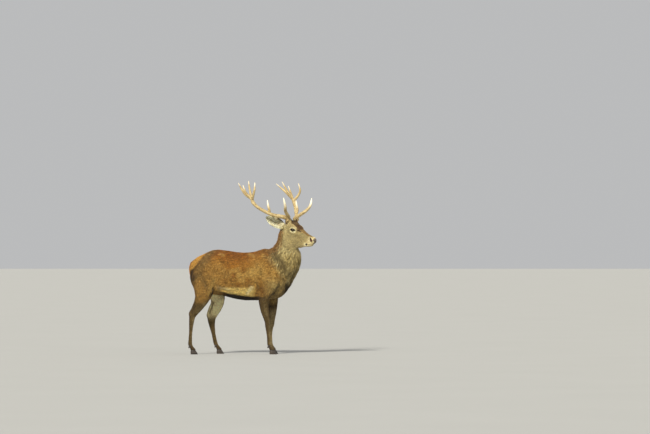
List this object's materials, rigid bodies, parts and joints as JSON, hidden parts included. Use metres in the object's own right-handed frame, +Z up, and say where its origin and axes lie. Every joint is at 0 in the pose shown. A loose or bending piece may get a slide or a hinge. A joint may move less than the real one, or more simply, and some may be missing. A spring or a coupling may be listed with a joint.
{
  "type": "red deer stag",
  "caption": "Life-size standing red deer stag, still model, head turned to its right, with branched antlers, short red-brown coat and grey-brown neck mane.",
  "frame": {"origin": "on the floor under the middle of the stag's bounding box", "axes": "+Z up, +X the way the body faces, +Y to the stag's left; the head is turned about 38 degrees to its right, towards -Y"},
  "size_m": [1.4504, 0.836, 1.9558],
  "materials": {
    "body_coat": "short reddish orange-brown fur, lying back along the body, paler tan low on the flank",
    "mane": "longer coarse grey-brown neck hair",
    "face_coat": "very short grey-tan face hair with pale eye rings, chin and ear linings",
    "leg_coat": "short dark grey-brown hair",
    "tail_coat": "orange-tan rump hair",
    "antler": "golden-brown antler bone, grooved and pearled, ivory at the tips",
    "hoof": "dark horn, satin",
    "eye": "wet dark brown eye"
  },
  "bodies": {
    "root": {"antler_left_beam_lower": "antler", "antler_left_beam_upper": "antler", "antler_left_brow": "antler", "antler_left_crown_front": "antler", "antler_left_crown_inner": "antler", "antler_left_crown_outer": "antler", "antler_left_crown_rear": "antler", "antler_left_trez": "antler", "antler_right_beam_lower": "antler", "antler_right_beam_upper": "antler", "antler_right_brow": "antler", "antler_right_crown_front": "antler", "antler_right_crown_inner": "antler", "antler_right_crown_outer": "antler", "antler_right_crown_rear": "antler", "antler_right_trez": "antler", "dew_claw_fore_left_inner": "hoof", "dew_claw_fore_left_outer": "hoof", "dew_claw_fore_right_inner": "hoof", "dew_claw_fore_right_outer": "hoof", "dew_claw_hind_left_inner": "hoof", "dew_claw_hind_left_outer": "hoof", "dew_claw_hind_right_inner": "hoof", "dew_claw_hind_right_outer": "hoof", "ear_left": "face_coat", "ear_right": "face_coat", "eye_left": "eye", "eye_right": "eye", "fore_leg_left": "leg_coat", "fore_leg_right": "leg_coat", "head": "face_coat", "hind_leg_left": "leg_coat", "hind_leg_right": "leg_coat", "hoof_fore_left_inner": "hoof", "hoof_fore_left_outer": "hoof", "hoof_fore_right_inner": "hoof", "hoof_fore_right_outer": "hoof", "hoof_hind_left_inner": "hoof", "hoof_hind_left_outer": "hoof", "hoof_hind_right_inner": "hoof", "hoof_hind_right_outer": "hoof", "neck": "mane", "tail": "tail_coat", "trunk": "body_coat"}
  },
  "joints": []
}
